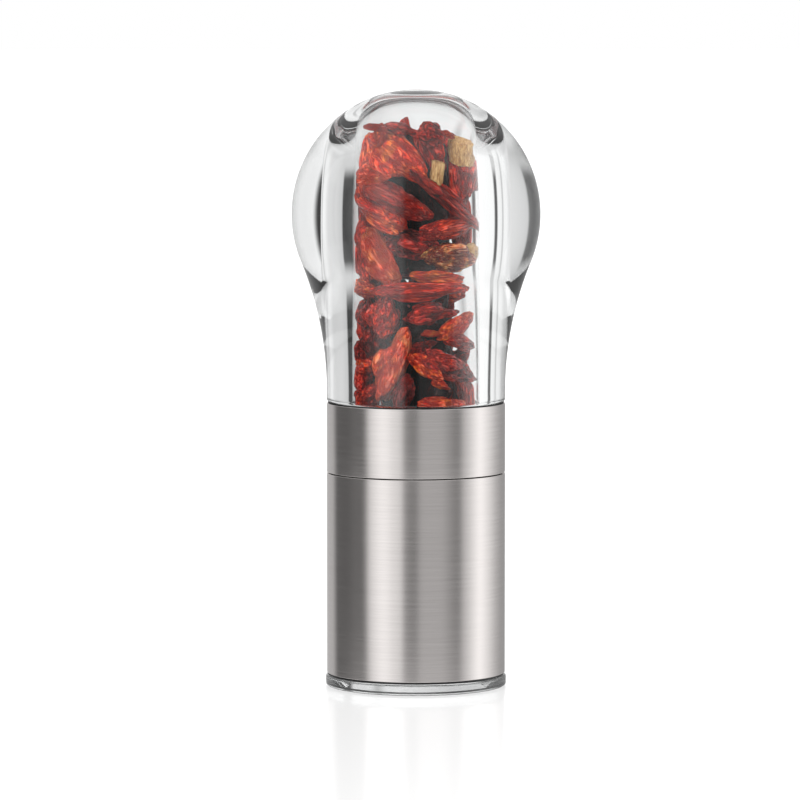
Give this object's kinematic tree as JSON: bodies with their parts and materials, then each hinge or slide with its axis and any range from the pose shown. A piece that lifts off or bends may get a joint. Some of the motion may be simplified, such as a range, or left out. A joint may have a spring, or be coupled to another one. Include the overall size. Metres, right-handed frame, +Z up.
{
  "type": "pepper mill",
  "caption": "Hand mill with a clear bulb head that turns a cutter in a steel tube and stands on a clear closing cap, filled with dried chillies.",
  "frame": {"origin": "centre of the face that the closing cap stands on", "axes": "+Z up along the mill's axis; it is a body of revolution outside, so +X and +Y are free"},
  "size_m": [0.071, 0.071, 0.1704],
  "materials": {
    "clear_acrylic": "clear polished acrylic, thick, refracting",
    "black_rubber": "matt black silicone rubber",
    "milky_rubber": "milky silicone rubber",
    "brushed_steel": "stainless steel brushed round the tube",
    "black_plastic": "moulded black ABS",
    "cutter_steel": "ground stainless cutter steel",
    "zinc_steel": "plain zinc-plated steel",
    "bronze": "sintered bronze",
    "white_plastic": "white acetal",
    "spring_steel": "spring steel",
    "chilli_red": "dried chilli skin, wrinkled and half glossy",
    "chilli_orange": "dried chilli skin, wrinkled and half glossy",
    "chilli_dark": "dried chilli skin, wrinkled and half glossy"
  },
  "bodies": {
    "base": {"base_cap": "clear_acrylic", "cap_seal": "black_rubber"},
    "housing": {"lower_sleeve": "brushed_steel", "housing_liner": "black_plastic", "hopper_funnel": "black_plastic", "tooth_ring": "cutter_steel", "cutter_plate": "cutter_steel", "plate_screws": "zinc_steel", "shaft_bush": "bronze", "glide_ring": "white_plastic", "retaining_clip": "spring_steel"},
    "turning_ring": {"upper_ring": "brushed_steel", "ring_liner": "black_plastic", "neck_seal": "black_rubber", "drive_spider": "black_plastic", "spider_screws": "zinc_steel", "drive_shaft": "zinc_steel", "shaft_nut": "zinc_steel", "feeder": "cutter_steel", "rotor_spring": "spring_steel", "cutter_rotor": "cutter_steel", "thrust_washer": "bronze", "shaft_clip": "spring_steel", "chillies_red": "chilli_red", "chillies_orange": "chilli_orange", "chillies_dark": "chilli_dark"},
    "head": {"head_dome": "clear_acrylic", "head_seal": "milky_rubber"}
  },
  "joints": [
    {"name": "lift_off_cap", "type": "slide", "parent": "base", "child": "housing", "axis": [0, 0, 1], "range_m": [0, 0.012]},
    {"name": "turn_head", "type": "hinge", "parent": "housing", "child": "turning_ring", "pos_m": [0, 0, 0.064], "axis": [0, 0, 1], "continuous": true},
    {"name": "pull_off_head", "type": "slide", "parent": "turning_ring", "child": "head", "axis": [0, 0, 1], "range_m": [0, 0.012]}
  ]
}
